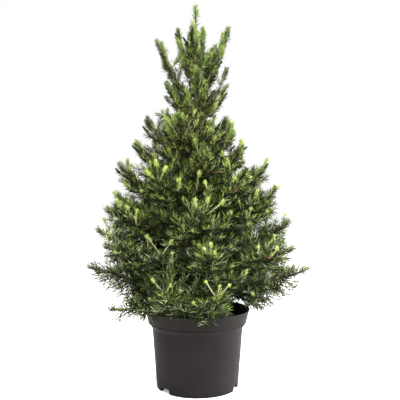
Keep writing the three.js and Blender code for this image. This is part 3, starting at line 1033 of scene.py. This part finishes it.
def clear_of_pot(base, tip):
    """Which needles keep out of the pot's wall, judged at nine spots on the line from base to tip.

    A spot is in the wall if it is lower than the rim and within half the wall's thickness, and a
    little to spare, of the wall's middle, whose radius is read off by height."""
    spots = base[:, None] + np.linspace(0, 1, 9)[None, :, None] * (tip - base)[:, None]
    height = spots[..., 2]
    off_middle = np.abs(from_axis(spots) - np.interp(height, WALL_HEIGHTS, WALL_RADII))
    return ~((height < POT_TOP) & (off_middle < HALF_WALL)).any(1)


# %% [markdown]
# Each shoot gets three colours: one for the needles above it, a painted shade for those below it or in
# shade, and a painted highlight for those above it that catch the light. A real shoot shows such a mix of
# light and shade, and flat colour on so many small faces looks as rich as a pattern would.

# %% Colours of a shoot and its needles
# A share of the needles above a shoot also take its painted shade colour, and a share of the rest its
# painted highlight colour.
SHADED_SHARE, GLINT_SHARE = 0.44, 0.4


def dealt(count, triples, chances):
    """Three colour names for each of count shoots, dealt at random in the given proportions."""
    pick = random.choice(len(triples), size=count, p=np.array(chances) / np.sum(chances))
    return np.array([triple.split() for triple in triples])[pick]


def lit_colours(above, kinds):
    """One colour name for each needle, out of the three of its shoot: the painted shade for needles below
    or in shade, the painted highlight for some of those above.
    """
    shaded = ~above | (random.uniform(0, 1, len(above)) < SHADED_SHARE)
    glints = ~shaded & (random.uniform(0, 1, len(above)) < GLINT_SHARE)
    return kinds[np.arange(len(above)), np.where(shaded, 1, np.where(glints, 2, 0))]


# %% Needles on a set of shoots
STRAY_SHARE = 1 / 12
needle_beds = {}


def clothe(
    paths, kinds, per_mm, needle, opening, first=0.0, closing=0.35, width=1.5, lift=0.15, spread=0.15
):
    """Lays needles along shoots, files them by colour, and returns how many there are.

    Needle k of a shoot sits at an even share s of the way from first to its end, turned k golden
    angles round it. It opens by opening (1 - closing s^2) degrees, give or take the share spread,
    and leans up by lift. One in twelve sticks out, half as wide open again and a fifth longer.
    kinds has three colours for each shoot, or triples and chances to deal them from. needle and
    width are in millimetres. Needles that would pierce the pot's wall are left out."""
    kinds = dealt(len(paths), *kinds) if isinstance(kinds, tuple) else kinds
    length = length_of(paths)
    per_mm, needle, opening, first, width = [
        np.broadcast_to(value, length.shape) for value in (per_mm, needle, opening, first, width)
    ]
    counts = np.maximum(3, (length / MM * per_mm * (1 - first)).astype(int))
    owner, order = shared_out(counts)
    along = (order + random.uniform(0.2, 0.8, len(order))) / counts[owner]
    place = first[owner] + (1 - first[owner]) * along
    base, heading = spot_on(paths, owner, place)
    tilt = np.radians(opening[owner]) * (1 - closing * place**2) * random.normal(1, spread, len(order))
    sticks_out = random.uniform(0, 1, len(order)) < STRAY_SHARE
    tilt *= np.where(sticks_out, 1.5, 1)
    out = opened(heading, order * GOLDEN + owner, tilt)
    # Needles that point above the shoot take the lit colours; the others take the painted shade.
    above = (out - (out * heading).sum(-1, keepdims=True) * heading)[:, 2] > -0.1
    out = unit(out + lift * UP)
    size = needle[owner] * MM * random.normal(1, 0.12, len(order)) * (1 - 0.25 * place**4)
    size *= np.where(sticks_out, 1.2, 1)
    corners = needle_corners(base, heading, out, size, width[owner] * MM)
    of_needle = lit_colours(above, kinds[owner])
    clear = clear_of_pot(corners[:, 0], corners[:, -1])
    for kind in np.unique(of_needle):
        needle_beds.setdefault(kind, []).append(corners[clear & (of_needle == kind)])
    return int(clear.sum())


# %% [markdown]
# Now the wood is clothed, from the inside out. Old wood has fewer needles and they stand wide
# open. The colours are dealt out shoot by shoot, because all the needles of one shoot grew in the
# same light: greyer low down, yellower and brighter higher up.

# %% Needles on boughs, branches and twigs
old_count = clothe(boughs, (["mid deep mid"], [1]), 1.2, 11, 62, first=0.3)
old_count += clothe(branches, (["mid deep olive", "mid deep blue"], [2, 1]), 1.1, 11.5, 60, first=0.1)
twig_rise = crown_share(twigs[:, 0, 2])
twig_needle = np.interp(twig_rise, [0, 0.3, 0.6, 1], [17, 13, 11.5, 9.5])
twig_width = np.interp(twig_rise, [0, 0.5], [1.25, 1.4])
# Twigs sit inside the crown. All their colours carry the near-black painted shade, and many high ones
# take dark as their first colour too, painted shade inside the spire.
low_twig_kinds = dealt(len(twigs), ["mid deep olive", "mid deep fresh", "blue deep pale"], [3, 3, 2])
high_twig_kinds = dealt(len(twigs), ["mid deep olive", "dark deep mid"], [2, 3])
twig_is_high = twig_rise + random.normal(0, 0.05, len(twigs)) > 0.35
twig_kinds = np.where(twig_is_high[:, None], high_twig_kinds, low_twig_kinds)
old_count += clothe(twigs, twig_kinds, 0.95, twig_needle, 50, width=twig_width)
print(old_count, "needles on boughs, branches and twigs")

# %% Colours of the shoots, by height
low_triples = ["mid deep pale", "blue deep pale", "mid deep fresh", "olive deep fresh"]
high_triples = ["mid deep bright", "olive deep bright", "fresh deep bright"]
inner_triples = ["mid deep olive", "mid deep fresh", "blue deep pale"]
middle_triples = ["mid deep bright", "olive deep fresh", "olive deep bright"]
lowest_triples = ["mid dark olive", "blue deep mid", "blue deep pale"]
low_kinds = dealt(len(shoots), low_triples, [3, 3, 2, 2])
high_kinds = dealt(len(shoots), high_triples, [3, 4, 2])
inner_kinds = dealt(len(shoots), inner_triples, [3, 2, 1])
middle_kinds = dealt(len(shoots), middle_triples, [3, 3, 2])
band = (shoot_rise + random.normal(0, 0.06, len(shoots)))[:, None]
# Shoots in the lowest band, at the bottom of the skirt, get bluer colours with dimmer painted highlights,
# for the weaker light under the skirt.
lowest_kinds = dealt(len(shoots), lowest_triples, [3, 3, 2])
shoot_kinds = np.where(band > 0.09, low_kinds, lowest_kinds)
shoot_kinds = np.where(band > 0.3, middle_kinds, shoot_kinds)
shoot_kinds = np.where(band > 0.6, high_kinds, shoot_kinds)
# Shoots inside the crown take duller colours than the high shoots on its skin: painted shade.
shoot_kinds = np.where(inside[:, None], inner_kinds, shoot_kinds)
print("first colours of the shoots", [str(name) for name in np.unique(shoot_kinds[:, 0])])

# %% Needles on the shoots
is_stalk = flushes & (shoot_rise > 0.15) & (shoot_rise < 0.68) & (end_gap > 35 * MM)
shoot_density = np.interp(shoot_rise, [0, 0.3, 0.62, 0.75], [1.45, 1.3, 1.35, 1.9])
shoot_density = np.where(is_wisp | is_stalk, 0.5, shoot_density)
shoot_needle = np.interp(shoot_rise, [0, 0.3, 0.6, 1], [18.5, 14.5, 12, 10.5])
shoot_width = np.interp(shoot_rise, [0, 0.5], [1.25, 1.4])
shoot_opening, bare = 56 - 12 * upright, 0.05 + 0.2 * upright
shoot_rules = (shoot_kinds, shoot_density, shoot_needle, shoot_opening, bare)
shoot_count = clothe(shoots, *shoot_rules, width=shoot_width, spread=0.28)
print(shoot_count, "needles on shoots, of which", int(is_stalk.sum()), "shoots are bare stalks")

# %% Needles on stems, new tips and dark rods of painted shade
fan_density = np.interp(fan_rise, [0.22, 0.38], [0.25, 0.8])
fan_kinds = (["mid dark olive", "olive mid fresh"], [1, 1])
new_count = clothe(fans, fan_kinds, fan_density, 5 + 2 * fan_density, 48)
new_count += clothe(stems, (["olive mid fresh"], [1]), 0.2, 6, 50)
new_count += clothe(fan_feet, (["mid dark olive"], [1]), 0.7, 12, 55)
middle_tip_triples = ["fresh olive bright", "bright olive bud", "bright fresh bud"]
high_tip_triples = ["olive mid fresh", "fresh mid bright", "bright olive bright"]
low_tips = dealt(len(new_tips), ["bright fresh bud", "bud bright bud"], [3, 2])
middle_tips = dealt(len(new_tips), middle_tip_triples, [3, 2, 2])
high_tips = dealt(len(new_tips), high_tip_triples, [3, 4, 1])
tip_band = (new_rise + random.normal(0, 0.05, len(new_tips)))[:, None]
tip_kinds = np.where(tip_band > 0.45, middle_tips, low_tips)
tip_kinds = np.where(tip_band > 0.6, high_tips, tip_kinds)
tip_kinds = np.where(at_limb_end[:, None], ["olive", "mid", "fresh"], tip_kinds)
new_needle = np.interp(new_rise, [0, 0.28, 0.4, 0.9], [4.0, 4.8, 6.9, 9.0])
new_opening = np.interp(new_rise, [0.25, 0.45], [64, 45])
new_count += clothe(new_tips, tip_kinds, 2.7, new_needle, new_opening, lift=0.0, spread=0.12)
# Near-black needles on the dark rods: painted shade.
new_count += clothe(shade_rods, (["rod rod deep"], [1]), 4.0, 4.6, 27, lift=0.0, width=1.6)
print(new_count, "needles on stems, new tips and dark rods of painted shade")

# %% Needles on bough ends and leader
end_kinds = dealt(len(bough_ends), ["mid dark olive", "olive dark fresh"], [1, 1])
end_density = np.interp(bough_rise, [0.1, 0.3], [1.4, 2.8])
end_needle = np.interp(bough_rise, [0.2, 0.6], [12, 10])
top_count = clothe(bough_ends, end_kinds, end_density, end_needle, 48, closing=0.3, lift=0.0)
top_count += clothe(leader, (["mid dark olive"], [1]), 1.4, 12, 50, closing=0.15, spread=0.35)
leader_head = leader[:, -4:]
head_kinds = (["olive dark fresh"], [1])
top_count += clothe(leader_head, head_kinds, 3.0, 10.5, 60, closing=0.5, lift=0.0, spread=0.3)
top_count += clothe(leader_shoots, (["olive mid fresh", "fresh olive bright"], [1, 2]), 2.2, 9, 54)
print(top_count, "needles on bough ends and leader")

# %% [markdown]
# ## Needle meshes
#
# All needles of one colour are joined into one mesh, or into a few where there are very many,
# because so many loose objects would be slow and one huge mesh would be hard to handle. The
# colours run from the near black of needles deep in the shade, which hardly shine, to the
# yellow-green of the buds.

# %% Needle colours and pieces
# deep, dark and the near-black of the dark rods are painted shade. pale is only ever a painted highlight,
# and bright and bud are one as well where a shoot has them third.
NEEDLE_COLOURS = {
    "deep": (0.010, 0.016, 0.005),
    "dark": (0.024, 0.040, 0.009),
    "blue": (0.110, 0.158, 0.066),
    "mid": (0.122, 0.176, 0.036),
    "olive": (0.178, 0.238, 0.050),
    "fresh": (0.222, 0.304, 0.056),
    "bright": (0.288, 0.376, 0.064),
    "bud": (0.450, 0.510, 0.210),
    "pale": (0.315, 0.370, 0.210),
    "rod": (0.010, 0.014, 0.005),
}
MOST_NEEDLES = 45000
NEAR_BLACK, SHADE_GLOSS, NEEDLE_GLOSS = 0.05, 0.05, 0.2
mass_pieces = []
for kind, beds in needle_beds.items():
    needles = np.concatenate(beds)
    gloss = SHADE_GLOSS if max(NEEDLE_COLOURS[kind]) < NEAR_BLACK else NEEDLE_GLOSS
    finish = plain_finish(f"needles_{kind}", NEEDLE_COLOURS[kind], 0.55, gloss)
    for part, first in enumerate(range(0, len(needles), MOST_NEEDLES)):
        some = needles[first : first + MOST_NEEDLES]
        faces = NEEDLE_FACES + 4 * np.arange(len(some))[:, None, None]
        name = f"needles_{kind}_{part + 1}"
        mass_pieces.append(
            piece_from(name, some.reshape(-1, 3), faces.reshape(-1, 3), finish, "needles", smooth=False)
        )
for piece in mass_pieces:
    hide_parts(*mass_names)

# %% [markdown]
# ## Trunk, boughs and twigs
#
# The trunk and the boughs have scaly grey-brown bark, made with relief in the mesh: each ring's
# radius swells and shrinks with lumpy noise. Younger wood is smooth, so plain tubes are enough.
# Branches are red-brown and high shoots brown. Twigs and low shoots are painted nearly black, a darker
# copy of that brown for the shade they stand in, and the bare stems and stalks of new growth are pale
# tan.


# %% Bark in relief
def bark_tubes(paths, radii, sides, depth, size):
    """Tubes whose corners are pushed in or out along their own radius by lumpy noise."""
    points, faces = tubes(paths, radii, sides)
    count, rows, _ = paths.shape
    rings = points.reshape(count, rows * sides + 2, 3)
    body = rings[:, :-2].reshape(count, rows, sides, 3)
    away = body - paths[:, :, None]
    ridges = lumps(body.reshape(-1, 3) * [1, 1, 0.45], size, 11).reshape(count, rows, sides, 1)
    flakes = lumps(body.reshape(-1, 3), size * 0.4, 12).reshape(count, rows, sides, 1)
    rings[:, :-2] = (body + away * depth * (ridges + 0.6 * flakes)).reshape(count, rows * sides, 3)
    return rings.reshape(-1, 3), faces


# %% Trunk and boughs
BARE_TOP = 0.2
trunk_height = np.linspace(TRUNK_FOOT, BARE_TOP, 90)
trunk_height = np.concatenate([trunk_height, np.linspace(BARE_TOP, TRUNK_TIP, 260)[1:]])
trunk_path = trunk_centre(trunk_height)[None]
trunk_mesh = bark_tubes(trunk_path, trunk_radius(trunk_height)[None], 40, 0.09, 0.012)
trunk = piece_from("trunk_bark", *trunk_mesh, BARK, "bark")
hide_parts("trunk")

bough_thickness = np.interp(bough_length, [0.1, 0.22], [1.9, 3.3])[:, None] * MM
bough_radii = np.linspace(1, 0.36, BOUGH_ROWS)[None] * bough_thickness
bough_wood = piece_from("bough_bark", *bark_tubes(boughs, bough_radii, 10, 0.07, 0.008), BARK, "bark")
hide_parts(*[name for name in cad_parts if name.startswith("bough_")])

# %% Younger wood
RED_BROWN = plain_finish("branch_skin", (0.19, 0.085, 0.04), 0.75)
TAN = plain_finish("twig_skin", (0.34, 0.315, 0.170), 0.7)
BROWN = plain_finish("shoot_skin", (0.27, 0.205, 0.11), 0.7)
# This darker copy of the shoot skin's brown is painted shade, for twigs and low shoots.
SHADED = plain_finish("twig_painted_shade", (0.085, 0.062, 0.032), 0.75)
STALK = plain_finish("new_stalk", (0.40, 0.42, 0.14), 0.6)


def tapering(paths, thick, thin, sides):
    """Tubes whose radius goes evenly from thick to thin millimetres along each path."""
    radii = np.ones((len(paths), 1)) * np.linspace(thick, thin, paths.shape[1]) * MM
    return tubes(paths, radii, sides)


leader_top = trunk_centre(np.linspace(TRUNK_TIP - 10 * MM, CROWN_TOP - 8 * MM, 4))[None]
red_wood = [
    tapering(branches, 1.4, 0.9, 6),
    tapering(fan_feet, 1.2, 1.0, 6),
    tapering(shade_rods, 1.2, 1.0, 5),
]
pale_wood = [
    tapering(fans, 0.8, 0.6, 6),
    tapering(stems, 0.8, 0.6, 6),
    tapering(shoots[is_stalk], 1.0, 0.8, 6),
    tapering(leader_shoots, 1.1, 0.7, 5),
    tapering(leader_top, 1.1, 0.8, 6),
]
low_shoots, high_shoots = shoots[(upright < 1) & ~is_stalk], shoots[(upright == 1) & ~is_stalk]
young_wood = [
    ("branch_wood", joined(red_wood), RED_BROWN),
    ("shoot_wood_low", tapering(low_shoots, 0.9, 0.6, 4), SHADED),
    ("shoot_wood_high", tapering(high_shoots, 0.9, 0.6, 4), BROWN),
    ("twig_wood", tapering(twigs, 0.7, 0.45, 3), SHADED),
    ("pale_wood", joined(pale_wood), TAN),
    ("new_stalks", tapering(new_tips, 0.9, 0.6, 4), STALK),
]
for name, mesh, skin in young_wood:
    piece_from(name, *mesh, skin, "bark")
